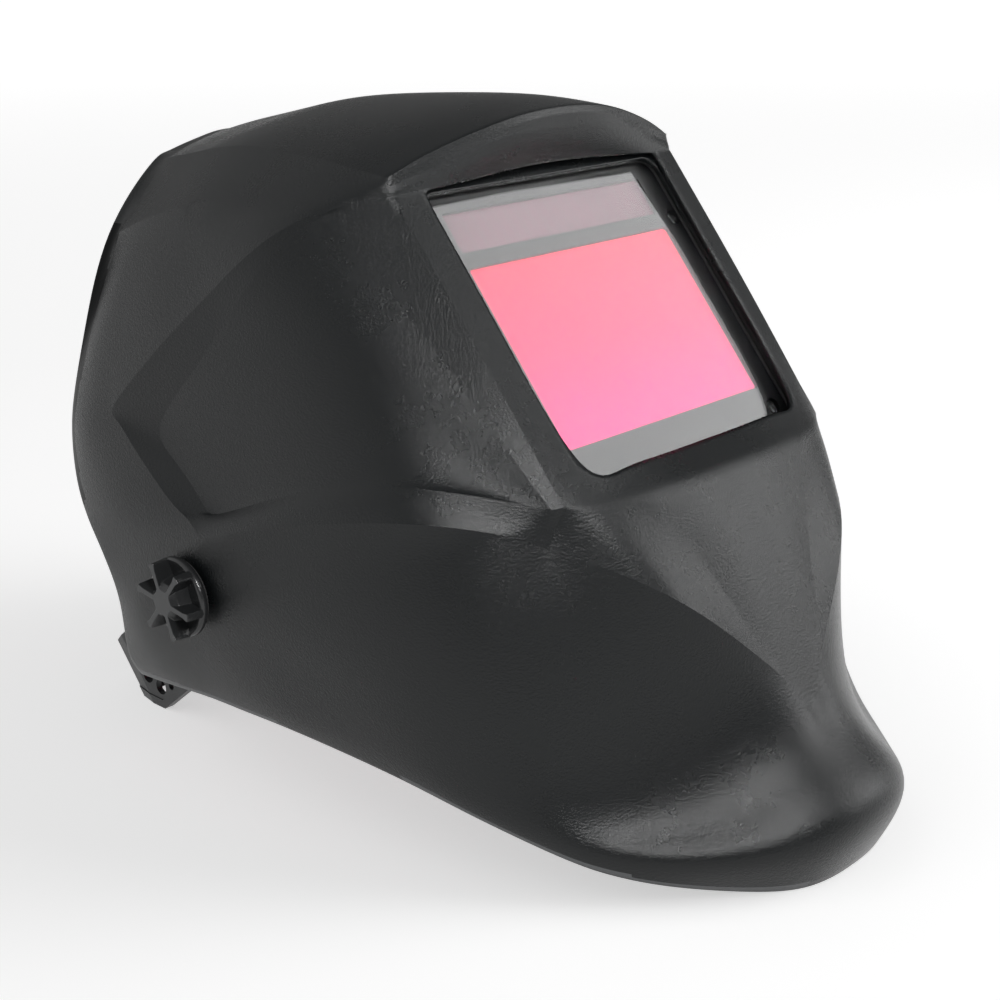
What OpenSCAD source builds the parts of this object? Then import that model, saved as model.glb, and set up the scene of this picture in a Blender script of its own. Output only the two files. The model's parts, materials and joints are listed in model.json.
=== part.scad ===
// Auto-darkening welding helmet with its headgear, standing tipped back on its chin and nape band.
// Helmet frame, used by every module: X towards the wearer's left, -Y forward, +Z towards the crown,
// with the origin on the tilt pivots' common axis. at_rest() then leans it back onto the bench.

/* [Stance] */
// Lean of the helmet from upright, in degrees
lean = 39.6; // [38:0.1:41]
// Height of the pivot axis above the bench
pivot_height = 74.1; // [73.8:0.1:76]
// Distance of the pivot axis behind the middle of the helmet's length
pivot_back = 30.5; // [25:0.1:40]

/* [Shell] */
// Thickness of the moulded shell wall
wall = 2.2; // [1.8:0.1:2.6]
// Half the width over the pivot seats, outside
seat_out = 113.4; // [113:0.1:114]
// Half the width between the pivot seats, inside
seat_in = 107.6; // [107:0.1:108]

/* [Window] */
// Width of the lens cartridge and of the cover lens
lens_w = 126; // [122:0.5:127]
// Height of the lens cartridge and of the cover lens
lens_h = 112; // [108:0.5:113]
// Width of the liquid-crystal viewing area
view_w = 100; // [90:1:102]
// Height of the liquid-crystal viewing area
view_h = 65; // [55:1:66]
// Width of the opening in the shell
opening_w = 115; // [112:0.5:116]

/* [Headgear] */
// Half the inside width of the headband at the temples
temple = 78; // [74:1:79]
// Forehead position, forward of the pivot axis
forehead = 70; // [62:1:70]
// Nape position, behind the pivot axis
nape = 112; // [104:1:114]
// Upward tilt of the forehead band, in degrees
brow_tilt = 22; // [15:1:24]
// Width of the forehead band
band_h = 22; // [18:1:24]

/* [Knobs] */
// Diameter of the tension knobs
knob_d = 27.5; // [26:0.5:29]
// Depth of the tension knobs
knob_depth = 8.4; // [8:0.2:10]

/* [Hidden] */

$fn = 48;

black = "#26282a";
soft_black = "#1d1e20";
grey = "#5c5f63";
steel = "#b8bcc0";
brass_tone = "#b99a52";

// The shell's surface is a grid of points, each as [distance from the centre line, forward, up].
// Columns run from the centre line round to the rear edge; rows climb from the rim to the brow.
RIM = [[0, 99, -178], [22, 96.5, -176], [40, 88, -167], [58, 80, -155], [70, 73, -144], [80, 66, -131],
    [92, 52, -107], [98, 36, -86], [103, 5, -56], [104, -14, -41], [104, -28, -30.5],
    [104, -45, -19], [103, -62, -8], [102, -64, -7]];
FLARE = [[0, 121, -166], [22, 116, -165], [42, 103, -159], [60, 88, -147], [73, 77, -135], [84, 69, -121],
    [95, 56, -99], [101, 40, -77], [106, 8, -48], [106.5, -11, -33], [106.5, -25, -23],
    [106.5, -44, -12], [105, -61, -2], [104.5, -62.5, -1]];
CHIN = [[0, 119, -148], [20, 115, -147], [39, 101, -143], [57, 85, -132], [72, 79, -119], [84, 77, -104],
    [97, 68, -83], [104.5, 50, -61], [109, 16, -30], [110, -4, -17], [110, -20, -9],
    [110, -38, 0], [107.5, -53, 6], [107, -54, 6.5]];
CHEEK = [[0, 117, -135], [10, 117, -132], [25, 114, -122], [49, 108, -104], [74, 100, -84], [87, 96, -70],
    [100, 86, -51], [108, 58, -32], [112, 24, -11], [112.6, 3, -2], [112.4, -12, 4],
    [112, -28, 11], [110, -41, 17], [109.5, -42, 17.5]];
LOW_CREASE = [[0, 117, -127], [6.5, 119, -120.5], [13, 121, -113], [46, 128, -80], [70, 115, -50],
    [77, 115, -45], [86, 110, -36], [102, 99, -24], [109, 66, -7], [112.4, 30, 8], [112.6, 20, 11],
    [112.2, -8, 22], [110.5, -38, 32], [110, -39, 32]];
SHIELD = [[0, 131, -75], [14, 131, -75], [28, 129.5, -74], [54, 129.5, -60], [69, 121, -46],
    [74, 119.5, -43], [83, 113, -34], [101, 101, -19], [108, 68, -2], [110.8, 28, 12],
    [112, 19, 16], [112.2, -10, 28], [110.5, -37.5, 36], [110, -38.5, 36]];
LIP = [[0, 136, -50], [21, 136, -50], [41, 134, -49], [57, 130, -46.5], [67, 126, -42], [70, 124, -41],
    [79.5, 116.5, -31.5], [98, 103, -14.5], [105, 68, 3], [107, 24, 15.5], [111.2, 16, 22],
    [112.2, -12, 34], [110.5, -37, 42], [110, -38, 42]];
SILL = [[0, 131, -38], [20, 131, -38], [41, 131, -38], [57.5, 129, -38], [67.3, 126, -34], [71.5, 123.5, -34],
    [80, 114, -25], [97.5, 101, -8.5], [104, 67, 8], [106.5, 22, 21], [110.8, 12, 30],
    [112, -14, 42], [110, -37, 48], [109.5, -38, 48]];
MIDDLE = [[0, 131, 14], [20, 131, 14], [41, 131, 14], [57.5, 129, 14], [68, 127, 14], [75.5, 119, 14],
    [88, 106, 22], [97, 88, 26], [102, 58, 30], [105.5, 18, 38], [109.4, 6, 50], [110.5, -17, 56],
    [108.5, -36, 60], [108, -37, 60]];
HEAD = [[0, 131, 67], [20, 131, 66.5], [41, 130, 65.5], [57.5, 129, 64], [68.5, 127, 66], [82, 112, 72],
    [96, 91, 68.5], [99.5, 66, 63.5], [102, 40, 58.5], [104, 14, 53.5], [107.8, 2, 63],
    [108.5, -17, 70], [106, -29.5, 75], [105, -31, 75.5]];
BEVEL = [[0, 138, 70], [20, 137.5, 69.5], [40, 135, 68.5], [57.5, 131, 67.5], [68.7, 127.3, 67.5],
    [82.3, 111.3, 74], [95, 92, 75], [100, 66, 74], [103.5, 38, 73], [106, 12, 71], [107, 0, 69],
    [106.5, -12, 77], [104.3, -20, 85], [103.5, -22, 85.5]];
SLOPE = [[0, 143, 73], [20, 142.5, 72.5], [40, 138, 71.5], [57.5, 132, 70], [68.9, 127.6, 69],
    [82.5, 110.5, 75.5], [92, 89, 83], [96, 64, 88], [98.5, 42, 93], [99.5, 26, 97], [100, 17, 98.5],
    [100, 8, 99.5], [99.5, 0, 100], [99.5, -3, 101.5]];
CREASE = [[0, 146, 75.5], [20, 145, 75], [40, 139.5, 74], [58, 133.5, 72.5], [69, 128, 70.3],
    [82.5, 109.5, 77], [87.5, 85, 93], [89, 65, 105.5], [89.3, 50, 113], [89.2, 41, 116.5],
    [89, 35, 118.5], [88.8, 30, 120], [88.5, 25.5, 121.5], [90.5, 21, 125]];
BROW = [[0, 147, 78], [20, 146, 77.5], [40, 140.5, 76], [58, 134, 74], [69, 129, 71.5], [69.5, 117.5, 83],
    [68, 104, 96], [65, 80, 116], [63.5, 64, 126.5], [62.5, 54, 132], [62, 46, 136],
    [61.5, 38.5, 140], [61, 31, 143.5], [61.5, 27, 147]];
ROWS = [RIM, FLARE, CHIN, CHEEK, LOW_CREASE, SHIELD, LIP, SILL, MIDDLE, HEAD, BEVEL, SLOPE, CREASE, BROW];
// The crown's centre line, from the brow's edge back to the rear edge
CROWN = [[0, 147, 78], [0, 135, 90], [0, 118, 103.5], [0, 92, 122], [0, 72, 135], [0, 56, 143.5],
    [0, 40, 151.5], [0, 23, 160], [0, 7, 167.5], [0, 1, 171]];
// Where the crown's lengthwise lines cross each row, as parts of its half-width
CROWN_STEPS = [0, 0.3, 0.6, 0.82, 1];

side_n = len(RIM) - 1;
top_row = len(ROWS) - 1;
crown_n = len(CROWN) - 1;
corner_c = 4;
window_c = 3;
sill_row = 7;
head_row = 9;
row_len = 2 * side_n + 1;
grid_n = len(ROWS) * row_len;
crown_len = 2 * corner_c - 1;
skin_n = grid_n + crown_n * crown_len;

// A grid point in the helmet frame, on the left for c > 0 and on the right for c < 0
function placed(p, c) = [c < 0 ? -p[0] : p[0], -p[1], p[2]];
function grid_point(r, c) = placed(ROWS[r][abs(c)], c);
// The crown falls from its centre line to its edge, more flatly towards the brow
function crown_point(k, t) =
    let (edge = BROW[corner_c + k], mid = CROWN[k], s = CROWN_STEPS[abs(t)], w = pow(s, 1.9 - 0.08 * k))
    placed([edge[0] * s, mid[1] + (edge[1] - mid[1]) * w, mid[2] + (edge[2] - mid[2]) * w], t);
function skin_s(r, c) = r * row_len + c + side_n;
function skin_t(k, t) =
    k == 0 ? skin_s(top_row, t)
    : abs(t) == corner_c ? skin_s(top_row, sign(t) * (corner_c + k))
    : grid_n + (k - 1) * crown_len + t + corner_c - 1;
SKIN = concat(
    [for (r = [0:top_row], c = [-side_n:side_n]) grid_point(r, c)],
    [for (k = [1:crown_n], t = [1 - corner_c:corner_c - 1]) crown_point(k, t)]);

// Neighbours of a skin point, for its normal
function above(r, c) =
    r < top_row ? skin_s(r + 1, c)
    : abs(c) <= corner_c ? skin_t(1, abs(c) == corner_c ? sign(c) * (corner_c - 1) : c)
    : skin_t(abs(c) - corner_c, sign(c) * (corner_c - 1));
function unit(v) = v / norm(v);
function skin_normal(right, left, up, down) = unit(cross(SKIN[right] - SKIN[left], SKIN[up] - SKIN[down]));
NORMALS = concat(
    [for (r = [0:top_row], c = [-side_n:side_n])
        skin_normal(skin_s(r, min(c + 1, side_n)), skin_s(r, max(c - 1, -side_n)),
            above(r, c), skin_s(max(r - 1, 0), c))],
    [for (k = [1:crown_n], t = [1 - corner_c:corner_c - 1])
        skin_normal(skin_t(k, t + 1), skin_t(k, t - 1), skin_t(min(k + 1, crown_n), t), skin_t(k - 1, t))]);
LINING = [for (i = [0:skin_n - 1]) SKIN[i] - wall * NORMALS[i]];

// Two triangles of a cell, split so that the left and right halves mirror each other
function cell(a, b, c, d, left) = left ? [[a, b, c], [a, c, d]] : [[b, c, d], [b, d, a]];
function in_window(r, c) = r >= sill_row && r < head_row && c >= -window_c && c < window_c;
OUTER = concat(
    [for (r = [0:top_row - 1], c = [-side_n:side_n - 1]) if (!in_window(r, c))
        for (f = cell(skin_s(r, c), skin_s(r + 1, c), skin_s(r + 1, c + 1), skin_s(r, c + 1), c >= 0)) f],
    [for (k = [0:crown_n - 1], t = [-corner_c:corner_c - 1])
        for (f = cell(skin_t(k, t), skin_t(k + 1, t), skin_t(k + 1, t + 1), skin_t(k, t + 1), t >= 0)) f]);
INNER = [for (f = OUTER) [f[2] + skin_n, f[1] + skin_n, f[0] + skin_n]];
// Open edges, each run in the direction that its outer faces run it
EDGES = concat(
    [for (c = [side_n:-1:1 - side_n]) [skin_s(0, c), skin_s(0, c - 1)]],
    [for (r = [0:top_row - 1]) [skin_s(r, -side_n), skin_s(r + 1, -side_n)]],
    [for (t = [-corner_c:corner_c - 1]) [skin_t(crown_n, t), skin_t(crown_n, t + 1)]],
    [for (r = [top_row:-1:1]) [skin_s(r, side_n), skin_s(r - 1, side_n)]],
    [for (c = [-window_c:window_c - 1]) [skin_s(sill_row, c), skin_s(sill_row, c + 1)]],
    [for (r = [sill_row:head_row - 1]) [skin_s(r, window_c), skin_s(r + 1, window_c)]],
    [for (c = [window_c:-1:1 - window_c]) [skin_s(head_row, c), skin_s(head_row, c - 1)]],
    [for (r = [head_row:-1:sill_row + 1]) [skin_s(r, -window_c), skin_s(r - 1, -window_c)]]);
BORDER = [for (e = EDGES)
    for (f = [[e[1], e[0], e[0] + skin_n], [e[1], e[0] + skin_n, e[1] + skin_n]]) f];

// Window stack, as distances forward of the pivot axis and heights above it
view_up = 7;
lens_up = 13;
seat_f = 124.5;
gasket_t = 1;
lens_t = 1;
lens_f = seat_f - gasket_t - lens_t;
case_f = lens_f - 0.1;
lcd_f = 121;
bezel_back = 117.5;
case_back = 111.5;
bay_back = 103;
bay_h = 25;
bay_up = lens_up + lens_h / 2 - bay_h / 2 - 1;
solar_h = 14.4;
solar_up = 52.3;
pocket_gap = 0.4;
pocket_wall = 1.8;
pocket_back = 109.2;
corner_r = 7;

// Pivot stack, as distances from the centre line
trunnion_r = 8;
rail_in = 80;
rail_out = 83;
block_in = 83.4;
block_out = 103;
slot_travel = 15;
stop_r = 17;
stop_sweep = 65;
stop_slack = 8;
knob_in = seat_out + 1.2;
skirt_t = 2.6;
insert_l = 6;
insert_r = 4.95;
hub_r = 6.2;
arm_turn = 18;

// Headgear
band_t = 2.4;
band_side_up = 4;
loop_power = 2.3;
nape_low = -17;
ratchet_up = 31;
ratchet_tilt = 25;
ratchet_y = nape + band_t + 6;
leg_in = rail_in - band_t - 0.4;
strap_w = 18;
strap_t = 1.4;
strap_y = -1.5;
crown_rise = 88;
rivet_r = 1.6;
rivet_places = [[-21, 7], [-21, 14], [strap_y, 15]];
nape_holes = [[85.5, -11.6, 1.5], [92, -9.3, 3], [96.5, -2.4, 3], [72, -8, 3], [82, -3, 2], [91.5, 4, 2], [68, 4, 2]];
retainer_h = 82;
retainer_up = lens_up - lens_h / 2 + retainer_h / 2 + 0.4;
knob_places = [-28, 2, 26];
button_x = -13;
drawer_x = 51;
drawer_h = 21.4;
drawer_f0 = bay_back + 1.2;
drawer_f1 = bay_back + 5.8;
cell_r = 10;

module at_rest() {
    translate([0, pivot_back, pivot_height]) rotate([-lean, 0, 0]) children();
}

// A module drawn for the left side, set on the left (s = 1) or mirrored to the right (s = -1)
module on_side(s) {
    at_rest() mirror([s < 0 ? 1 : 0, 0, 0]) children();
}

module x_rod(x0, x1, r) {
    translate([x0, 0, 0]) rotate([0, 90, 0]) cylinder(h = x1 - x0, r = r);
}

// A flat shape in the window's plane, extruded from f0 to f1 ahead of the pivot axis
module facing(f0, f1, up = 0) {
    translate([0, -f0, up]) rotate([90, 0, 0]) linear_extrude(f1 - f0) children();
}

module round_rect(w, h, r) {
    square([w - 2 * r, h], center = true);
    square([w, h - 2 * r], center = true);
    for (x = [-1, 1], y = [-1, 1]) translate([x * (w / 2 - r), y * (h / 2 - r)]) circle(r);
}

module shell() {
    color(black) at_rest() difference() {
        union() {
            polyhedron(points = concat(SKIN, LINING), faces = concat(OUTER, INNER, BORDER), convexity = 12);
            // Seat round the opening that the gasket and the cover lens press on
            facing(seat_f, seat_f + 2.2, lens_up) difference() {
                round_rect(lens_w + 2, lens_h + 2, corner_r + 1);
                round_rect(opening_w, 104, 6);
            }
            // Pocket wall round the cartridge
            facing(pocket_back, seat_f, lens_up) difference() {
                round_rect(lens_w + 2 * pocket_gap + 2 * pocket_wall, lens_h + 2 * pocket_gap + 2 * pocket_wall,
                    corner_r + pocket_gap + pocket_wall);
                round_rect(lens_w + 2 * pocket_gap, lens_h + 2 * pocket_gap, corner_r + pocket_gap);
            }
            for (s = [-1, 1]) mirror([s < 0 ? 1 : 0, 0, 0]) {
                x_rod(seat_in, seat_out - 2.6, 21);
                x_rod(seat_out - 3, seat_out, 13);
            }
        }
        for (s = [-1, 1]) mirror([s < 0 ? 1 : 0, 0, 0]) x_rod(seat_in - 1, seat_out + 1, trunnion_r + 0.08);
    }
}

// Pins that the stop plates' slots run on
module stop_pins() {
    color(black) for (s = [-1, 1]) on_side(s)
        translate([0, 0, stop_r]) x_rod(block_out + 0.6, seat_in, 2);
}

module window_gasket() {
    color(soft_black) at_rest() facing(seat_f - gasket_t, seat_f, lens_up) difference() {
        round_rect(lens_w, lens_h, corner_r);
        round_rect(opening_w + 1, 105, 6);
    }
}

module outer_cover_lens() {
    color("#c8d4d8", 0.35) at_rest() facing(lens_f, lens_f + lens_t, lens_up) round_rect(lens_w, lens_h, corner_r);
}

module adf_front_case() {
    color(soft_black) at_rest() difference() {
        facing(bezel_back, case_f, lens_up) round_rect(lens_w - 0.4, lens_h - 0.4, corner_r);
        facing(lcd_f - 1, case_f + 1, view_up) round_rect(view_w, view_h, 1.5);
        facing(bezel_back - 1, lcd_f, view_up) round_rect(view_w + 5, view_h + 5, 1);
        facing(lcd_f - 1, case_f + 1, solar_up) round_rect(view_w - 2, solar_h, 1);
        facing(bezel_back - 1, lcd_f, solar_up) round_rect(view_w + 4, solar_h + 4, 1);
        sensor_places() facing(bezel_back - 1, case_f + 1) circle(3);
    }
}

// The four arc sensors look out of the corners of the front case
module sensor_places() {
    translate([-56, 0, 42.4]) children();
    translate([56, 0, 42.4]) children();
    translate([-52, 0, view_up - view_h / 2 - 8]) children();
    translate([52, 0, view_up - view_h / 2 - 8]) children();
}

module lcd_panel() {
    color("#ff6f9f") at_rest() facing(lcd_f - 2.4, lcd_f, view_up) round_rect(view_w + 4.6, view_h + 4.6, 0.8);
}

module solar_cell() {
    color("#6d4a58") at_rest() facing(lcd_f - 1.6, lcd_f, solar_up) round_rect(view_w + 3.6, solar_h + 3.6, 0.8);
}

module arc_sensors() {
    color("#d8dcdf") at_rest() sensor_places() {
        facing(bezel_back + 0.6, lcd_f) circle(2.8);
        translate([0, -lcd_f, 0]) scale([1, 0.6, 1]) sphere(2);
    }
}

module circuit_board() {
    color("#2e6b3f") at_rest() facing(bezel_back - 1.6, bezel_back - 0.2, bay_up) round_rect(110, 20, 1);
}

module adf_back_case() {
    color(soft_black) at_rest() difference() {
        union() {
            facing(case_back, bezel_back, lens_up) round_rect(lens_w - 0.4, lens_h - 0.4, corner_r);
            facing(bay_back, case_back + 1, bay_up) round_rect(lens_w - 2, bay_h, 3);
        }
        facing(case_back - 1, bezel_back + 1, view_up) round_rect(view_w, view_h, 1.5);
        facing(case_back - 1, case_back + 1.1, view_up) round_rect(view_w + 4.4, view_h + 4.4, 1.5);
        facing(bezel_back - 3.4, bezel_back + 1, bay_up) round_rect(112, 21, 1);
        for (x = knob_places) translate([x, 0, 0]) facing(bay_back - 1, bezel_back - 3, bay_up) circle(2.05);
        translate([button_x, 0, 0]) facing(bay_back - 1, bezel_back - 3, bay_up) circle(3.05);
        for (s = [-1, 1]) mirror([s < 0 ? 1 : 0, 0, 0]) drawer_bay();
        screw_places() facing(case_back - 1, bezel_back - 1.5) circle(1.55);
    }
}

// Slot, open at the side of the case, that a battery drawer runs in
module drawer_bay() {
    translate([drawer_x - 11, -drawer_f1 - 0.2, bay_up - drawer_h / 2 - 0.2])
        cube([30, drawer_f1 - drawer_f0 + 0.4, drawer_h + 0.4]);
}

module battery_drawer(s) {
    color(grey) on_side(s) difference() {
        union() {
            translate([drawer_x - 10.7, -drawer_f1, bay_up - drawer_h / 2])
                cube([21.7, drawer_f1 - drawer_f0, drawer_h]);
            translate([drawer_x + 10.9, -drawer_f1, bay_up - 6]) cube([1.6, drawer_f1 - drawer_f0, 12]);
        }
        translate([drawer_x, 0, 0]) facing(drawer_f0 + 0.8, drawer_f1 + 1, bay_up) circle(cell_r + 0.1);
    }
}
module battery_drawer_left() { battery_drawer(1); }
module battery_drawer_right() { battery_drawer(-1); }

module coin_cell(s) {
    color(steel) on_side(s) translate([drawer_x, 0, 0]) facing(drawer_f0 + 0.8, drawer_f0 + 4, bay_up) circle(cell_r);
}
module coin_cell_left() { coin_cell(1); }
module coin_cell_right() { coin_cell(-1); }

// Ribbed control knob with its spindle and pointer notch
module control_knob(x) {
    color(grey) at_rest() translate([x, 0, 0]) {
        facing(bay_back + 0.2, bay_back + 7, bay_up) circle(2);
        difference() {
            facing(bay_back - 5.4, bay_back - 0.3, bay_up) union() {
                circle(6.4);
                for (a = [0:30:359]) rotate(a) translate([6.3, 0]) circle(0.7, $fn = 16);
            }
            translate([-0.6, -bay_back + 4.6, bay_up - 0.5]) cube([1.2, 2, 8]);
        }
        facing(bay_back - 0.4, bay_back + 0.3, bay_up) circle(2);
    }
}
module shade_knob() { control_knob(knob_places[0]); }
module sensitivity_knob() { control_knob(knob_places[1]); }
module delay_knob() { control_knob(knob_places[2]); }

module test_button() {
    color("#c23a2e") at_rest() translate([button_x, 0, 0]) facing(bay_back - 1.8, bay_back + 4, bay_up) circle(3);
}

module screw_places() {
    for (x = [-1, 1], z = [-1, 1]) translate([x * 57.5, 0, z * 36]) children();
}

// Screws that close the cartridge, sunk flush with its back
module case_screws() {
    color(steel) at_rest() screw_places() difference() {
        facing(case_back + 0.05, case_back + 4) circle(1.5);
        facing(case_back - 1, case_back + 0.6) square([2, 0.5], center = true);
    }
}

module inner_cover_lens() {
    color("#c8d4d8", 0.35) at_rest()
        facing(case_back + 0.05, case_back + 1.05, view_up) round_rect(view_w + 4, view_h + 4, 1.4);
}

// Frame behind the cartridge that keeps it and the inner lens in the pocket
module retainer_frame() {
    color(black) at_rest() difference() {
        facing(case_back - 2.4, case_back - 0.1, retainer_up) round_rect(lens_w - 0.8, retainer_h, corner_r);
        facing(case_back - 4, case_back + 1, view_up) round_rect(view_w - 1, view_h - 1, 3);
    }
}

// Thumb latch that hooks the retainer frame to the pocket wall
module retainer_latch(s) {
    color(grey) on_side(s) {
        translate([54, -(case_back - 2.5), view_up - 8]) cube([15.5, 1.6, 16]);
        translate([56, -(case_back - 4), view_up - 1]) cube([9, 1.6, 2.4]);
    }
}
module retainer_latch_left() { retainer_latch(1); }
module retainer_latch_right() { retainer_latch(-1); }

// Block that carries the helmet on its trunnion and runs on the headband's rail
module pivot_block(s) {
    color(black) on_side(s) difference() {
        union() {
            translate([block_in, -15, -12]) cube([block_out - block_in, 30, 24]);
            x_rod(block_out - 1, seat_out + 0.2, trunnion_r);
        }
        x_rod(block_in - 1, seat_out + 1, 4.05);
        for (y = [-1, 1]) translate([block_in + 4, y * 15 - 3, -13]) cube([10, 6, 26]);
    }
}
module pivot_block_left() { pivot_block(1); }
module pivot_block_right() { pivot_block(-1); }

module pivot_bolt(s) {
    color(steel) on_side(s) {
        x_rod(rail_in - 0.4, knob_in + insert_l - 0.3, 4);
        translate([rail_in - 3, -7, -7]) cube([2.7, 14, 14]);
    }
}
module pivot_bolt_left() { pivot_bolt(1); }
module pivot_bolt_right() { pivot_bolt(-1); }

// Slotted disc: its slot runs on the shell's stop pin and ends the helmet's swing
module stop_plate(s) {
    color(grey) on_side(s) difference() {
        x_rod(block_out + 0.2, block_out + 2.2, 22);
        x_rod(block_out, block_out + 3, trunnion_r + 0.02);
        translate([block_out, 0, 0]) rotate([0, 90, 0]) rotate([0, 0, 180 - stop_sweep - stop_slack])
            rotate_extrude(angle = stop_sweep + 2 * stop_slack) translate([stop_r - 2.4, 0]) square([4.8, 3]);
    }
}
module stop_plate_left() { stop_plate(1); }
module stop_plate_right() { stop_plate(-1); }

module inner_washer(s) {
    color("#d9d4c8") on_side(s) difference() {
        x_rod(block_out + 2.5, seat_in - 0.4, 13.5);
        x_rod(block_out + 2, seat_in, trunnion_r + 0.02);
    }
}
module inner_washer_left() { inner_washer(1); }
module inner_washer_right() { inner_washer(-1); }

module outer_washer(s) {
    color(soft_black) on_side(s) difference() {
        x_rod(seat_out + 0.3, knob_in - 0.3, 12.5);
        x_rod(seat_out, knob_in, 4.05);
    }
}
module outer_washer_left() { outer_washer(1); }
module outer_washer_right() { outer_washer(-1); }

// Tension knob: a round skirt under six fins, with deep pockets between them
module pivot_knob(s) {
    r = knob_d / 2;
    color(soft_black) on_side(s) difference() {
        union() {
            x_rod(knob_in, knob_in + skirt_t + 1, r);
            translate([knob_in + skirt_t + 1, 0, 0]) rotate([0, 90, 0])
                cylinder(h = knob_depth - skirt_t - 1, r1 = r, r2 = r - 0.4);
        }
        for (a = [0:60:359]) rotate([a, 0, 0]) translate([knob_in + skirt_t, 0, 0]) pocket_cut(r);
        x_rod(knob_in - 1, knob_in + insert_l + 0.5, insert_r + 0.05);
    }
}
module pocket_cut(r) {
    rotate([0, 90, 0]) rotate([0, 0, arm_turn + 30]) linear_extrude(knob_depth)
        polygon([[hub_r, 2.4], [hub_r, -2.4], [r + 3, -7.9], [r + 3, 7.9]]);
}
module pivot_knob_left() { pivot_knob(1); }
module pivot_knob_right() { pivot_knob(-1); }

// Brass nut moulded into the knob
module knob_insert(s) {
    color(brass_tone) on_side(s) difference() {
        x_rod(knob_in + 0.3, knob_in + insert_l + 0.3, insert_r);
        x_rod(knob_in, knob_in + knob_depth, 4.05);
    }
}
module knob_insert_left() { knob_insert(1); }
module knob_insert_right() { knob_insert(-1); }

// Rail with the fore-and-aft slot, riveted between the forehead band and the nape band
module side_rail(s) {
    color(black) on_side(s) difference() {
        translate([rail_in, 0, 0]) rotate([90, 0, 90]) linear_extrude(rail_out - rail_in) union() {
            translate([3, 0]) round_rect(92, 22, 9);
            translate([-12, 8]) round_rect(40, 22, 8);
        }
        translate([rail_in - 1, 0, 0]) rotate([90, 0, 90]) linear_extrude(6) union() {
            translate([0, -4.3]) square([slot_travel, 8.6]);
            circle(4.3);
            translate([slot_travel, 0]) circle(4.3);
        }
        rivet_holes();
    }
}
module side_rail_left() { side_rail(1); }
module side_rail_right() { side_rail(-1); }

module rail_rivets() {
    color(steel) for (s = [-1, 1]) on_side(s) for (p = rivet_places) translate([0, p[0], p[1]]) {
        x_rod(rail_in - 4.6, rail_out + 0.3, rivet_r);
        x_rod(rail_out + 0.05, rail_out + 0.35, rivet_r + 1.2);
    }
}

module rivet_holes() {
    for (p = rivet_places) translate([0, p[0], p[1]]) x_rod(rail_in - 9, rail_out + 1, rivet_r + 0.05);
}

// A point of the headband's loop, grown by g, at angle a from the wearer's left towards the forehead
function loop_point(a, g) =
    let (c = cos(a), n = sin(a))
    [(temple + g) * sign(c) * pow(abs(c), 2 / loop_power), -(forehead - band_t + g) * pow(abs(n), 2 / loop_power)];

module loop_strip(g0, g1, a0, a1, h) {
    steps = 36;
    linear_extrude(h, center = true) polygon(concat(
        [for (i = [0:steps]) loop_point(a0 + (a1 - a0) * i / steps, g1)],
        [for (i = [steps:-1:0]) loop_point(a0 + (a1 - a0) * i / steps, g0)]));
}

module tilted_band() {
    at_rest() translate([0, 0, band_side_up]) rotate([-brow_tilt, 0, 0]) children();
}

module headband() {
    color(black) difference() {
        tilted_band() difference() {
            loop_strip(0, band_t - 0.4, 11.5, 168.5, band_h);
            for (x = [-36:12:36]) translate([x, 0, 0]) rotate([90, 0, 0]) translate([0, 0, forehead - 24])
                cylinder(h = 40, r = 2.2);
        }
        for (s = [-1, 1]) on_side(s) rivet_holes();
    }
}

module sweatband() {
    color("#2b2c2e") tilted_band() loop_strip(-6.5, -0.1, 32, 148, band_h + 6);
}

// Strap over the crown, riveted inside a rail, its end lapping the other strap's by lift
module crown_strap(s, lift, holes) {
    color(black) on_side(s) difference() {
        translate([0, strap_y, 0]) rotate([90, 0, 0]) linear_extrude(strap_w, center = true) intersection() {
            difference() {
                polygon(arch(rail_in - 0.1, crown_rise + lift + strap_t));
                polygon(arch(rail_in - strap_t, crown_rise + lift));
            }
            translate([-16, 11]) square([120, 100]);
        }
        for (x = holes) translate([x, strap_y, crown_rise - 20]) cylinder(h = 40, r = 2.1);
        rivet_holes();
    }
}
function arch(w, h) =
    [for (a = [0:6:180]) [w * sign(cos(a)) * pow(abs(cos(a)), 0.7), h * pow(sin(a), 0.8)]];
module crown_strap_left() { crown_strap(1, 0, [-8, 8, 22, 34]); }
module crown_strap_right() { crown_strap(-1, strap_t + 0.1, [-8, 8]); }

module crown_pegs() {
    color(soft_black) at_rest() for (x = [-8, 8]) translate([x, strap_y, crown_rise - 2.6]) {
        cylinder(h = 7, r = 2);
        translate([0, 0, 5.9]) cylinder(h = 1.6, r = 4);
    }
}

// Rear band: legs from the rails, square corners, and a back that bows out to the nape
function nape_half(g) = [[leg_in + g, 39], [leg_in + g, 101], [leg_in - 1.5 + g, 106 + g / 2],
    [72 + g / 2, 109.6 + g], [54, 110.8 + g], [28, nape - 0.6 + g], [0, nape + g]];
function nape_line(g) = concat(nape_half(g), [for (i = [5:-1:0]) [-nape_half(g)[i][0], nape_half(g)[i][1]]]);

module nape_strip(g0, g1, z0, z1) {
    translate([0, 0, z0]) linear_extrude(z1 - z0)
        polygon(concat(nape_line(g1), [for (i = [12:-1:0]) nape_line(g0)[i]]));
}

// Everything that clears the bench under the leaning helmet
module above_bench(gap) {
    intersection() {
        children();
        rotate([lean, 0, 0]) translate([-150, -50, -pivot_height + gap]) cube([300, 300, 300]);
    }
}

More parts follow.
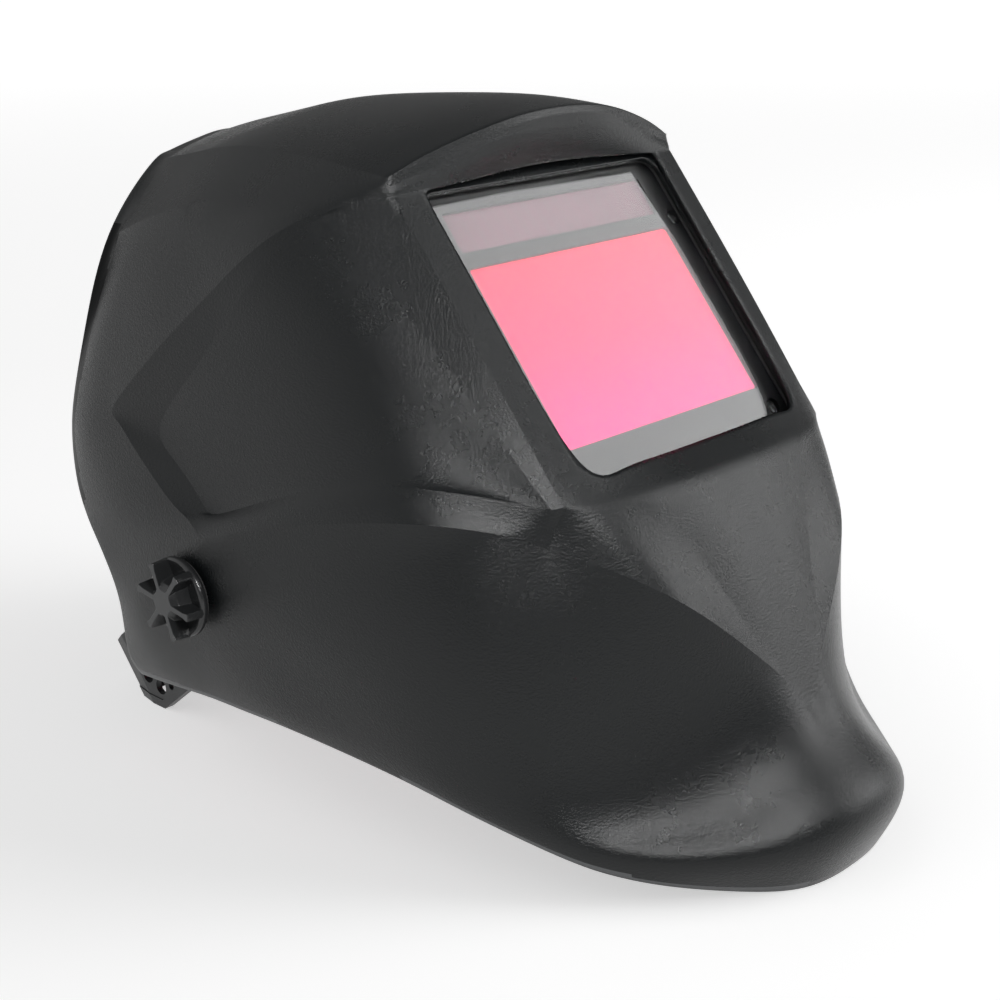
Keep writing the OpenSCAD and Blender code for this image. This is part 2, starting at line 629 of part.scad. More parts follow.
module nape_band() {
    color(black) at_rest() difference() {
        above_bench(0) union() {
            nape_strip(0, band_t, nape_low, 17);
            nape_strip(-1.2, band_t + 0.3, nape_low, nape_low + 3.2);
            difference() {
                nape_strip(-1.2, band_t + 0.3, nape_low + 1, 3);
                above_bench(3.2) nape_strip(-2, band_t + 1, nape_low, 4);
            }
            intersection() {
                nape_strip(0, band_t, 8, 46);
                translate([0, nape + 20, 29]) rotate([90, 0, 0]) linear_extrude(40) round_rect(104, 32, 12);
            }
        }
        for (s = [-1, 1], p = nape_holes) translate([s * 60, p[0], p[1]]) rotate([0, s * 90, 0])
            cylinder(h = 30, r = p[2]);
    }
}

module nape_pad() {
    color("#2b2c2e") at_rest() intersection() {
        translate([0, nape, 30]) rotate([90, 0, 0]) linear_extrude(30, center = true) round_rect(92, 26, 11);
        nape_strip(-6, -0.1, 10, 50);
    }
}

// Ratchet box, leaning with the nape
module ratchet_frame() {
    at_rest() translate([0, ratchet_y, ratchet_up]) rotate([-90 + ratchet_tilt, 0, 0]) children();
}

module ratchet_housing() {
    color(black) difference() {
        ratchet_frame() translate([0, 0, -14]) linear_extrude(23) round_rect(56, 26, 8);
        at_rest() translate([-50, nape + band_t - 99.95, -20]) cube([100, 100, 100]);
        ratchet_frame() {
            translate([0, 0, 0.2]) cylinder(h = 12, r = 5.08);
            translate([0, 0, 1.8]) linear_extrude(5.4) round_rect(50, 20, 6);
            for (x = [-1, 1]) translate([x * 22, 0, 6]) cylinder(h = 5, r = 1.55);
        }
    }
}

module ratchet_cover() {
    color(black) ratchet_frame() difference() {
        translate([0, 0, 9.05]) linear_extrude(2) round_rect(54, 25, 8);
        translate([0, 0, 8]) cylinder(h = 5, r = 5.08);
        for (x = [-1, 1]) translate([x * 22, 0, 8]) cylinder(h = 5, r = 1.55);
    }
}

module ratchet_screws() {
    color(steel) ratchet_frame() for (x = [-1, 1]) translate([x * 22, 0, 0]) {
        translate([0, 0, 7.3]) cylinder(h = 4, r = 1.5);
        translate([0, 0, 11.1]) cylinder(h = 1, r = 2.8);
    }
}

module ratchet_pinion() {
    color(grey) ratchet_frame() {
        translate([0, 0, 0.4]) cylinder(h = 12.6, r = 5);
        translate([0, 0, 2.2]) linear_extrude(4.6) for (a = [0:36:359])
            rotate(a) translate([5.6, 0]) square([2.4, 1.6], center = true);
    }
}

module ratchet_knob() {
    color(soft_black) ratchet_frame() translate([0, 0, 12.4]) difference() {
        linear_extrude(10) union() {
            circle(14);
            for (a = [0:30:359]) rotate(a) translate([13.6, 0]) circle(1.5, $fn = 16);
        }
        translate([0, 0, -1]) cylinder(h = 2, r = 5.02);
    }
}

// Toothed strap end of the headband, run inside the nape band into the ratchet box
module rack_strap(s) {
    color(soft_black) on_side(s) translate([0, 0, 5]) linear_extrude(10) polygon([
        [leg_in - 0.3, 30], [leg_in - 0.3, 91], [leg_in - 2.4, 100.6], [69, 106.4], [53.5, 108.9], [30, 110],
        [30, 108.7], [53, 107.6], [68, 105.2], [leg_in - 3.8, 99.8], [leg_in - 1.7, 91], [leg_in - 1.7, 30]]);
}
module rack_strap_left() { rack_strap(1); }
module rack_strap_right() { rack_strap(-1); }

shell();
stop_pins();
window_gasket();
outer_cover_lens();
adf_front_case();
lcd_panel();
solar_cell();
arc_sensors();
circuit_board();
adf_back_case();
inner_cover_lens();
retainer_frame();
case_screws();
retainer_latch_left();
retainer_latch_right();
shade_knob();
sensitivity_knob();
delay_knob();
test_button();
battery_drawer_left();
battery_drawer_right();
coin_cell_left();
coin_cell_right();
pivot_block_left();
pivot_block_right();
pivot_bolt_left();
pivot_bolt_right();
stop_plate_left();
stop_plate_right();
inner_washer_left();
inner_washer_right();
outer_washer_left();
outer_washer_right();
pivot_knob_left();
pivot_knob_right();
knob_insert_left();
knob_insert_right();
side_rail_left();
side_rail_right();
headband();
sweatband();
crown_strap_left();
crown_strap_right();
crown_pegs();
rail_rivets();
rack_strap_left();
rack_strap_right();
nape_band();
nape_pad();
ratchet_housing();
ratchet_cover();
ratchet_screws();
ratchet_pinion();
ratchet_knob();
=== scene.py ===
"""The looks of an auto-darkening welding helmet, leaning back on its chin rim and nape band.

The helmet frame, used for most pieces, is in millimetres: X towards the wearer's left, -Y forward
and +Z towards the crown, with the origin on the tilt pivots' axis. REST leans it onto the bench.
"""

import json
import math

import bmesh
import bpy
import numpy as np
from mathutils import Matrix, Vector
from mathutils.kdtree import KDTree


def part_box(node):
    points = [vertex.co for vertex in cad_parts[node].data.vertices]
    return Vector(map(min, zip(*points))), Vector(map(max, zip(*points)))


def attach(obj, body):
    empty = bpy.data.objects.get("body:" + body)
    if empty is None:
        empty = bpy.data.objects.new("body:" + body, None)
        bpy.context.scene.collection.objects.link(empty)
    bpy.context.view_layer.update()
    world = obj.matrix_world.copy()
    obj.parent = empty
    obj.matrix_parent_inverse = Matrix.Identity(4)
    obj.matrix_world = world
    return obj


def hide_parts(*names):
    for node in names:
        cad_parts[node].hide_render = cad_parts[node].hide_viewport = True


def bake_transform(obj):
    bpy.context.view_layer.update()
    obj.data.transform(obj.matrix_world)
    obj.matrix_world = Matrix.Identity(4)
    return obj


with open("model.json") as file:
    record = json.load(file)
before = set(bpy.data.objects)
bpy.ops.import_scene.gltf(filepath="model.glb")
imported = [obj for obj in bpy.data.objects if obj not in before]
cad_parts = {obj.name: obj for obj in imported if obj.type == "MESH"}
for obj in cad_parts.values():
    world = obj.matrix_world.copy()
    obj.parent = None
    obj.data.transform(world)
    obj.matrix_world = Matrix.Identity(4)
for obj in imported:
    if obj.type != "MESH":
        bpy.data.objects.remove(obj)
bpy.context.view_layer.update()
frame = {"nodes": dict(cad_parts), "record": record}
NODES = frame["nodes"]

MM = 0.001
LEAN = math.radians(39.6)
PIVOT = Vector((0, 0.0305, 0.0741))
REST = Matrix.Translation(PIVOT) @ Matrix.Rotation(-LEAN, 4, "X")


# ---------------------------------------------------------------- materials


class Nodes:
    """A short way to wire a material's nodes."""

    def __init__(self, name):
        self.material = bpy.data.materials.new(name)
        self.material.use_nodes = True
        self.tree = self.material.node_tree
        self.shader = self.tree.nodes["Principled BSDF"]

    def add(self, kind, **inputs):
        node = self.tree.nodes.new(kind)
        for key, value in inputs.items():
            if hasattr(node, key):
                setattr(node, key, value)
            else:
                self.feed(node.inputs[key.replace("_", " ")], value)
        return node

    def feed(self, socket, value):
        if isinstance(value, bpy.types.NodeSocket):
            self.tree.links.new(value, socket)
        else:
            socket.default_value = value

    def set(self, **inputs):
        for key, value in inputs.items():
            self.feed(self.shader.inputs[key.replace("_", " ")], value)

    def place(self):
        return self.add("ShaderNodeNewGeometry").outputs["Position"]

    def noise(self, scale, detail=3.0, roughness=0.5, vector=None):
        node = self.add("ShaderNodeTexNoise", Scale=scale, Detail=detail, Roughness=roughness)
        self.feed(node.inputs["Vector"], vector or self.place())
        return node.outputs["Fac"]

    def ramp(self, fac, stops):
        node = self.add("ShaderNodeValToRGB")
        self.feed(node.inputs["Fac"], fac)
        ramp = node.color_ramp
        while len(ramp.elements) < len(stops):
            ramp.elements.new(0.5)
        for element, (place, colour) in zip(ramp.elements, stops):
            element.position = place
            element.color = (*colour, 1)
        return node.outputs["Color"]

    def level(self, fac, low, high, start=0.0, end=1.0):
        node = self.add("ShaderNodeMapRange")
        self.feed(node.inputs["Value"], fac)
        self.feed(node.inputs["From Min"], start)
        self.feed(node.inputs["From Max"], end)
        self.feed(node.inputs["To Min"], low)
        self.feed(node.inputs["To Max"], high)
        return node.outputs["Result"]

    def math(self, operation, a, b=0.0):
        node = self.add("ShaderNodeMath", operation=operation)
        self.feed(node.inputs[0], a)
        self.feed(node.inputs[1], b)
        return node.outputs[0]

    def bump(self, height, strength, distance, normal=None):
        node = self.add("ShaderNodeBump")
        self.feed(node.inputs["Height"], height)
        self.feed(node.inputs["Strength"], strength)
        self.feed(node.inputs["Distance"], distance)
        if normal is not None:
            self.feed(node.inputs["Normal"], normal)
        return node.outputs["Normal"]


def moulded(name, dark, light, rough, grain, depth, scuff=0.0, shine=0.5):
    """Moulded plastic: mottled colour, pebble grain of the given size, and faint rub marks."""
    n = Nodes(name)
    cloud = n.noise(14.0, 4.0)
    n.set(Base_Color=n.ramp(cloud, [(0.3, dark), (0.7, light)]), Specular_IOR_Level=shine)
    pebble = n.add("ShaderNodeTexVoronoi", Scale=1.0 / grain, feature="SMOOTH_F1")
    n.feed(pebble.inputs["Vector"], n.place())
    fine = n.noise(2.6 / grain, 2.0, 0.6)
    height = n.math("ADD", pebble.outputs["Distance"], fine)
    worn = n.level(n.noise(38.0, 6.0, 0.7), -scuff, scuff, 0.35, 0.65)
    n.set(Roughness=n.math("ADD", worn, rough))
    n.set(Normal=n.bump(height, 0.9, depth))
    return n.material


def metal(name, colour, rough, streak):
    """Plated or turned metal with fine drawn lines."""
    n = Nodes(name)
    stretch = n.add("ShaderNodeMapping")
    n.feed(stretch.inputs["Vector"], n.place())
    n.feed(stretch.inputs["Scale"], (1.0, 12.0, 12.0))
    lines = n.noise(streak, 4.0, 0.6, stretch.outputs["Vector"])
    dull = tuple(c * 0.72 for c in colour)
    n.set(Base_Color=n.ramp(lines, [(0.3, dull), (0.7, colour)]), Metallic=1.0)
    n.set(Roughness=n.level(lines, rough - 0.08, rough + 0.1, 0.3, 0.7))
    n.set(Normal=n.bump(lines, 0.3, 0.00003))
    return n.material


def clear_sheet(name, tint, smear):
    """Polished polycarbonate, with a faint film of handling marks."""
    n = Nodes(name)
    film = n.noise(26.0, 5.0, 0.65)
    n.set(Base_Color=n.ramp(film, [(0.2, tint), (0.8, (1, 1, 1))]))
    n.set(Roughness=n.level(film, 0.0, smear, 0.45, 0.8))
    n.set(Transmission_Weight=1.0, IOR=1.4)
    return n.material


def filter_glass():
    """The filter's interference coating: deep pink under polished glass, a little mauver low down, with a
    painted pink glow from its own emission.
    """
    n = Nodes("Filter_Glass")
    split = n.add("ShaderNodeSeparateXYZ")
    n.feed(split.inputs[0], n.place())
    low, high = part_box("lcd_panel")
    rise = n.level(split.outputs["Z"], 0.0, 1.0, low[2], high[2])
    sheen = n.math("ADD", rise, n.level(n.noise(9.0, 2.0), -0.08, 0.08))
    stops = [(0.05, (0.85, 0.05, 0.27)), (0.5, (0.85, 0.035, 0.15)), (0.95, (0.85, 0.03, 0.1))]
    n.set(Base_Color=n.ramp(sheen, stops))
    n.set(Roughness=n.level(n.noise(60.0, 3.0), 0.3, 0.36))
    # Painted light: the coating glows pink by emission, though it is no lamp
    painted_glow = n.ramp(sheen, [(0.1, (0.8, 0.03, 0.15)), (0.9, (0.8, 0.02, 0.07))])
    n.set(Emission_Color=painted_glow, Emission_Strength=0.5, Specular_IOR_Level=0.2)
    return n.material


def solar_glass():
    """Dark mauve solar film with the faint fingers of its cells."""
    n = Nodes("Solar_Glass")
    wave = n.add("ShaderNodeTexWave", Scale=62.0, bands_direction="X")
    n.feed(wave.inputs["Vector"], n.place())
    cells = n.level(wave.outputs["Fac"], 0.0, 1.0, 0.0, 0.06)
    film = n.ramp(n.noise(12.0, 3.0), [(0.3, (0.16, 0.055, 0.085)), (0.7, (0.2, 0.075, 0.11))])
    mix = n.add("ShaderNodeMix", data_type="RGBA")
    n.feed(mix.inputs[0], cells)
    n.feed(mix.inputs[6], (0.12, 0.05, 0.07, 1))
    n.feed(mix.inputs[7], film)
    n.set(Base_Color=mix.outputs[2], Roughness=n.level(cells, 0.28, 0.22), Specular_IOR_Level=0.3)
    return n.material


def board_green():
    """Solder mask with the ghost of its copper tracks."""
    n = Nodes("Board")
    brick = n.add("ShaderNodeTexBrick", Scale=150.0)
    n.feed(brick.inputs["Vector"], n.place())
    n.feed(brick.inputs["Color1"], (0.02, 0.16, 0.06, 1))
    n.feed(brick.inputs["Color2"], (0.015, 0.11, 0.04, 1))
    n.feed(brick.inputs["Mortar"], (0.03, 0.22, 0.09, 1))
    n.set(Base_Color=brick.outputs["Color"], Roughness=n.level(n.noise(300.0), 0.3, 0.45))
    return n.material


def knit(name, colour):
    """Brushed knit over foam: rows of loops, fuzz and lint."""
    n = Nodes(name)
    rows = n.add("ShaderNodeTexWave", Scale=420.0, Distortion=2.5, Detail=2.0, bands_direction="DIAGONAL")
    n.feed(rows.inputs["Vector"], n.place())
    columns = n.add("ShaderNodeTexWave", Scale=360.0, Distortion=2.0, bands_direction="X")
    n.feed(columns.inputs["Vector"], n.place())
    loops = n.math("MULTIPLY", rows.outputs["Fac"], columns.outputs["Fac"])
    fuzz = n.noise(900.0, 4.0, 0.7)
    lint = n.noise(160.0, 5.0, 0.8)
    pale = tuple(min(1.0, c * 2.4 + 0.01) for c in colour)
    shade = n.math("ADD", n.math("MULTIPLY", loops, 0.5), n.math("MULTIPLY", lint, 0.5))
    n.set(Base_Color=n.ramp(shade, [(0.25, colour), (0.75, pale)]), Roughness=n.level(fuzz, 0.82, 0.97))
    n.set(Sheen_Weight=0.35, Sheen_Roughness=0.5)
    n.set(Normal=n.bump(fuzz, 0.4, 0.0002, n.bump(loops, 0.7, 0.0005)))
    return n.material


M = {
    "shell_nylon": moulded("Shell_Nylon", (0.0035, 0.0042, 0.0046), (0.0048, 0.0058, 0.0062),
                           0.27, 0.0007, 0.00011, 0.01, 0.32),
    # Painted highlight: a lighter plastic for the bright line along the lower rim
    "shell_rim": moulded("Shell_Rim_Painted_Highlight", (0.05, 0.052, 0.054), (0.065, 0.068, 0.07),
                         0.4, 0.0006, 0.00004, 0.02),
    # Painted shade: a darker, less shiny plastic for the dark lip up the rear edge
    "shell_lip": moulded("Shell_Lip_Painted_Shade", (0.002, 0.0022, 0.0024), (0.003, 0.0032, 0.0034),
                         0.3, 0.0006, 0.00004, 0.02, 0.1),
    "gasket_rubber": moulded("Gasket_Rubber", (0.012, 0.012, 0.012), (0.018, 0.018, 0.018),
                             0.7, 0.0005, 0.00006, 0.05),
    "case_plastic": moulded("Case_Plastic", (0.016, 0.016, 0.018), (0.024, 0.024, 0.026),
                            0.38, 0.0004, 0.00005, 0.05),
    "grey_plastic": moulded("Grey_Plastic", (0.075, 0.08, 0.084), (0.11, 0.115, 0.12),
                            0.45, 0.0004, 0.00005, 0.06),
    "button_plastic": moulded("Button_Plastic", (0.38, 0.025, 0.018), (0.5, 0.04, 0.03),
                              0.4, 0.0004, 0.00003, 0.04),
    "pale_plastic": moulded("Pale_Plastic", (0.55, 0.52, 0.45), (0.66, 0.63, 0.56),
                            0.5, 0.0005, 0.00004, 0.05),
    "knob_plastic": moulded("Knob_Plastic", (0.010, 0.0105, 0.011), (0.015, 0.0155, 0.016),
                            0.2, 0.0005, 0.00002, 0.04),
    "knob_face": moulded("Knob_Face", (0.022, 0.023, 0.024), (0.032, 0.033, 0.034),
                         0.42, 0.0003, 0.00006, 0.05),
    "headgear_plastic": moulded("Headgear_Plastic", (0.013, 0.014, 0.015), (0.02, 0.021, 0.022),
                                0.4, 0.0006, 0.00005, 0.06),
    "sensor_lens": clear_sheet("Sensor_Lens", (0.85, 0.88, 0.92), 0.05),
    "clear_lens": clear_sheet("Clear_Lens", (0.97, 0.985, 0.98), 0.03),
    "filter_glass": filter_glass(),
    "solar_glass": solar_glass(),
    "board": board_green(),
    "pad_fabric": knit("Pad_Fabric", (0.018, 0.018, 0.02)),
    "steel": metal("Steel", (0.6, 0.61, 0.62), 0.3, 90.0),
    "brass": metal("Brass", (0.68, 0.48, 0.2), 0.32, 120.0),
}

SLOTS = {part["node"]: part["material_slot"] for part in frame["record"]["subparts"]}


def dress(ob, material):
    ob.data.materials.clear()
    ob.data.materials.append(material)
    return ob


def soften(ob, width, segments=2, angle=35.0):
    """Rounds an object's sharp edges by width millimetres."""
    bevel = ob.modifiers.new("Edge", "BEVEL")
    bevel.width = width * MM
    bevel.segments = segments
    bevel.limit_method = "ANGLE"
    bevel.angle_limit = math.radians(angle)
    bevel.harden_normals = True
    bevel.use_clamp_overlap = True
    return ob


for name, ob in NODES.items():
    dress(ob, M[SLOTS[name]])

# ---------------------------------------------------------------- mesh helpers


def solid(name, points, faces, slot, body, *stands_for, place=REST):
    """A piece from points in millimetres of the helmet frame, or of another given place."""
    mesh = bpy.data.meshes.new(name)
    mesh.from_pydata([place @ (Vector(p) * MM) for p in points], [], faces)
    bm = bmesh.new()
    bm.from_mesh(mesh)
    bmesh.ops.recalc_face_normals(bm, faces=bm.faces)
    bm.to_mesh(mesh)
    bm.free()
    mesh.polygons.foreach_set("use_smooth", [True] * len(mesh.polygons))
    ob = bpy.data.objects.new(name, mesh)
    bpy.context.scene.collection.objects.link(ob)
    dress(ob, M[slot])
    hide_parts(*stands_for)
    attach(ob, body)
    return ob


def round_rect(w, h, r, up=0.0, steps=6):
    """Corner-rounded rectangle in the window's plane, as (x, z) points, anticlockwise."""
    loop = []
    for cx, cz, start in ((1, 1, 0), (-1, 1, 90), (-1, -1, 180), (1, -1, 270)):
        for i in range(steps + 1):
            a = math.radians(start + 90 * i / steps)
            loop.append((cx * (w / 2 - r) + r * math.cos(a), up + cz * (h / 2 - r) + r * math.sin(a)))
    return loop


def lofted(loops, closed=True):
    """Points and quads through equal loops of points. Closed joins the last loop to the first."""
    n = len(loops[0])
    points = [p for loop in loops for p in loop]
    faces = []
    for k in range(len(loops) if closed else len(loops) - 1):
        a, b = k * n, (k + 1) % len(loops) * n
        for i in range(n):
            j = (i + 1) % n
            faces.append((a + i, a + j, b + j, b + i))
    return points, faces


def applied(ob):
    """Turns an object's modifiers into its mesh."""
    bpy.context.view_layer.update()
    graph = bpy.context.evaluated_depsgraph_get()
    mesh = bpy.data.meshes.new_from_object(ob.evaluated_get(graph))
    ob.modifiers.clear()
    ob.data = mesh
    return ob


# ---------------------------------------------------------------- shell

# A grid of points, each as [distance from the centre line, forward, up]. Columns run from the centre
# line round to the rear edge; rows climb from the rim to the brow.
ROWS = [
    # rim
    [[0, 99, -178], [22, 96.5, -176], [40, 88, -167], [58, 80, -155], [70, 73, -144], [80, 66, -131],
     [92, 52, -107], [98, 36, -86], [103, 5, -56], [104, -14, -41], [104, -28, -30.5],
     [104, -45, -19], [103, -62, -8], [102, -64, -7]],
    # flare
    [[0, 121, -166], [22, 116, -165], [42, 103, -159], [60, 88, -147], [73, 77, -135], [84, 69, -121],
     [95, 56, -99], [101, 40, -77], [106, 8, -48], [106.5, -11, -33], [106.5, -25, -23],
     [106.5, -44, -12], [105, -61, -2], [104.5, -62.5, -1]],
    # chin
    [[0, 119, -148], [20, 115, -147], [39, 101, -143], [57, 85, -132], [72, 79, -119], [84, 77, -104],
     [97, 68, -83], [104.5, 50, -61], [109, 16, -30], [110, -4, -17], [110, -20, -9],
     [110, -38, 0], [107.5, -53, 6], [107, -54, 6.5]],
    # cheek
    [[0, 117, -135], [10, 117, -132], [25, 114, -122], [49, 108, -104], [74, 100, -84], [87, 96, -70],
     [100, 86, -51], [108, 58, -32], [112, 24, -11], [112.6, 3, -2], [112.4, -12, 4],
     [112, -28, 11], [110, -41, 17], [109.5, -42, 17.5]],
    # low crease
    [[0, 117, -127], [6.5, 119, -120.5], [13, 121, -113], [46, 128, -80], [71.8, 116.7, -50.3],
     [80, 114.4, -43], [87, 110.7, -36.9], [102, 99, -24], [109, 66, -7], [112.4, 30, 8], [112.6, 20, 11],
     [112.2, -8, 22], [110.5, -38, 32], [110, -39, 32]],
    # shield
    [[0, 131, -75], [14, 131, -75], [28, 129.5, -74], [54, 129.5, -60], [69, 121, -46],
     [75, 118.7, -41.6], [83, 113, -34.6], [101, 101, -19], [108, 68, -2], [110.8, 28, 12],
     [112, 19, 16], [112.2, -10, 28], [110.5, -37.5, 36], [110, -38.5, 36]],
    # lip
    [[0, 136, -50], [21, 136, -50], [41, 134, -49], [57, 130, -46.5], [67, 126, -42], [70, 124, -41],
     [79.5, 116.5, -31.5], [98, 103, -14.5], [105, 68, 3], [107, 24, 15.5], [111.2, 16, 22],
     [112.2, -12, 34], [110.5, -37, 42], [110, -38, 42]],
    # sill
    [[0, 131, -38], [20, 131, -38], [41, 131, -38], [57.5, 129, -38], [67.3, 126, -34],
     [71.5, 123.5, -34], [80, 114, -25], [97.5, 101, -8.5], [104, 67, 8], [106.5, 22, 21], [110.8, 12, 30],
     [112, -14, 42], [110, -37, 48], [109.5, -38, 48]],
    # middle
    [[0, 131, 14], [20, 131, 14], [41, 131, 14], [57.5, 129, 14], [68, 127, 14], [75.5, 119, 14],
     [88, 106, 22], [97, 88, 26], [102, 58, 30], [105.5, 18, 38], [109.4, 6, 50], [110.5, -17, 56],
     [108.5, -36, 60], [108, -37, 60]],
    # head
    [[0, 131, 67], [20, 131, 66.5], [41, 130, 65.5], [57.5, 129, 64], [68.5, 127, 66], [82, 112, 72],
     [96, 91, 68.5], [99.5, 66, 63.5], [102, 40, 58.5], [104, 14, 53.5], [107.8, 2, 63],
     [108.5, -17, 70], [106, -29.5, 75], [105, -31, 75.5]],
    # bevel
    [[0, 138, 70], [20, 137.5, 69.5], [40, 135, 68.5], [57.5, 131, 67.5], [68.7, 127.3, 67.5],
     [82.3, 111.3, 74], [95, 92, 75], [100, 66, 74], [103.5, 38, 73], [106, 12, 71], [107, 0, 69],
     [106.5, -12, 77], [104.3, -20, 85], [103.5, -22, 85.5]],
    # slope
    [[0, 143, 73], [20, 142.5, 72.5], [40, 138, 71.5], [57.5, 132, 70], [68.9, 127.6, 69],
     [82.5, 110.5, 75.5], [92, 89, 83], [96, 64, 88], [98.5, 42, 93], [99.5, 26, 97], [100, 17, 98.5],
     [100, 8, 99.5], [99.5, 0, 100], [99.5, -3, 101.5]],
    # crease
    [[0, 146, 75.5], [20, 145, 75], [40, 139.5, 74], [58, 133.5, 72.5], [69, 128, 70.3],
     [82.5, 109.5, 77], [87.5, 85, 93], [89, 65, 105.5], [89.3, 50, 113], [89.2, 41, 116.5],
     [89, 35, 118.5], [88.8, 30, 120], [88.5, 25.5, 121.5], [90.5, 21, 125]],
    # brow
    [[0, 147, 78], [20, 146, 77.5], [40, 140.5, 76], [58, 134, 74], [69, 129, 71.5], [69.5, 117.5, 83],
     [68, 104, 96], [65, 80, 116], [63.5, 64, 126.5], [62.5, 54, 132], [62, 46, 136],
     [61.5, 38.5, 140], [61, 31, 143.5], [61.5, 27, 147]],
]
RIM, FLARE, CHIN, CHEEK, LOW_CREASE, SHIELD, LIP, SILL, MIDDLE, HEAD, BEVEL, SLOPE, CREASE, BROW = range(14)
CROWN = [[0, 147, 78], [0, 135, 90], [0, 118, 103.5], [0, 92, 122], [0, 72, 135], [0, 56, 143.5],
         [0, 40, 151.5], [0, 23, 160], [0, 7, 167.5], [0, 1, 171]]
CROWN_STEPS = [0, 0.3, 0.6, 0.82, 1]
# How full the crown's arch is at the brow, and what it loses with each row
CROWN_ROUND, CROWN_FLATTEN = 1.9, 0.08
CORNER_C, WINDOW_C, LAST_C = 4, 3, 13
WALL = 2.2

# Lines of the skin that stay crisp: (row, first column, last column, sharpness), and
# (column, first row, last row, sharpness). A sharpness of 1 is a moulded edge; less is a soft one.
ROW_LINES = [
    (LOW_CREASE, 0, 1, 0.45), (LOW_CREASE, 1, 9, 1), (LOW_CREASE, 9, 10, 0.6),
    (LIP, 0, 3, 0.55), (LIP, 3, 4, 0.5), (LIP, 4, 9, 1),
    (HEAD, 3, 5, 0.9), (HEAD, 5, 9, 1), (BEVEL, 5, 10, 1),
    (SLOPE, 0, 4, 0.6), (CREASE, 0, 4, 0.6), (CREASE, 6, 7, 0.5), (CREASE, 7, 12, 1),
    (BROW, 0, 4, 0.6), (BROW, 4, 12, 1),
]
COLUMN_LINES = [
    (2, LOW_CREASE, SHIELD, 1), (2, SHIELD, LIP, 0.6), (4, LOW_CREASE, LIP, 1), (4, LIP, HEAD, 1),
    (4, HEAD, BROW, 0.6), (5, LIP, HEAD, 1), (9, LIP, HEAD, 1), (10, LOW_CREASE, BEVEL, 1),
    (12, SLOPE, BROW, 1),
]


def shell_cage():
    """The grid as vertices, quads and creased edges."""
    points, index = [], {}

    def add(key, p, side):
        index[key] = len(points)
        points.append((p[0] * side, -p[1], p[2]))

    for r, row in enumerate(ROWS):
        for c in range(-LAST_C, LAST_C + 1):
            add((r, c), row[abs(c)], -1 if c < 0 else 1)
    for k in range(1, len(CROWN)):
        for t in range(1 - CORNER_C, CORNER_C):
            s = CROWN_STEPS[abs(t)]
            w = s ** (CROWN_ROUND - CROWN_FLATTEN * k)
            edge, mid = ROWS[BROW][CORNER_C + k], CROWN[k]
            p = (edge[0] * s, mid[1] + (edge[1] - mid[1]) * w, mid[2] + (edge[2] - mid[2]) * w)
            add(("k", k, t), p, -1 if t < 0 else 1)

    def crown(k, t):
        if k == 0:
            return index[(BROW, t)]
        if abs(t) == CORNER_C:
            return index[(BROW, int(math.copysign(CORNER_C + k, t)))]
        return index[("k", k, t)]

    faces = []
    for r in range(BROW):
        for c in range(-LAST_C, LAST_C):
            if not (SILL <= r < HEAD and -WINDOW_C <= c < WINDOW_C):
                faces.append((index[(r, c)], index[(r, c + 1)], index[(r + 1, c + 1)], index[(r + 1, c)]))
    for k in range(len(CROWN) - 1):
        for t in range(-CORNER_C, CORNER_C):
            faces.append((crown(k, t), crown(k, t + 1), crown(k + 1, t + 1), crown(k + 1, t)))
    creases = {}
    for side in (-1, 1):
        for r, c0, c1, value in ROW_LINES:
            for c in range(c0, c1):
                creases[frozenset((index[(r, side * c)], index[(r, side * (c + 1))]))] = value
        for c, r0, r1, value in COLUMN_LINES:
            for r in range(r0, r1):
                creases[frozenset((index[(r, side * c)], index[(r + 1, side * c)]))] = value
    last = len(CROWN) - 2
    for t in range(-CORNER_C, CORNER_C):
        creases[frozenset((crown(last, t), crown(last, t + 1)))] = 1
    return points, faces, creases


RIM_HIGHLIGHT, REAR_LIP_SHADE = 1.9, 4.5  # widths of the painted highlight line along the rim and the painted shade of the rear lip, in millimetres
# The lower rim is below RIM_Z, or below SIDE_Z where it is behind SIDE_Y. The rear lip is behind
# LIP_Y and above LIP_Z.
RIM_Z, SIDE_Z, SIDE_Y = -45, -8, -60
LIP_Y, LIP_Z = -20, 55


def mark_edges(ob):
    """Gives the skin a painted highlight, a bright line along the lower rim, and painted shade, a dark lip
    up the rear edge.
    """
    for key in ("shell_rim", "shell_lip"):
        ob.data.materials.append(M[key])
    to_helmet = REST.inverted()
    low, rear = [], []
    bm = bmesh.new()
    bm.from_mesh(ob.data)
    for vert in bm.verts:
        if vert.is_boundary:
            p = to_helmet @ vert.co / MM
            if p.z < RIM_Z or (p.z < SIDE_Z and p.y > SIDE_Y):
                low.append(vert.co.copy())
            elif p.y > LIP_Y and p.z > LIP_Z:
                rear.append(vert.co.copy())
    for index, (points, width) in enumerate(((low, RIM_HIGHLIGHT), (rear, REAR_LIP_SHADE)), 1):
        tree = KDTree(len(points))
        for i, point in enumerate(points):
            tree.insert(point, i)
        tree.balance()
        for face in bm.faces:
            if tree.find(face.calc_center_median())[2] < width * MM:
                face.material_index = index
    bm.to_mesh(ob.data)
    bm.free()


# How the cage is fitted: rounds, the part of each error taken out in a round, and the furthest a
# point may move as a part of its shortest edge
FIT_ROUNDS, FIT_STEP, FIT_REACH = 5, 0.8, 0.3


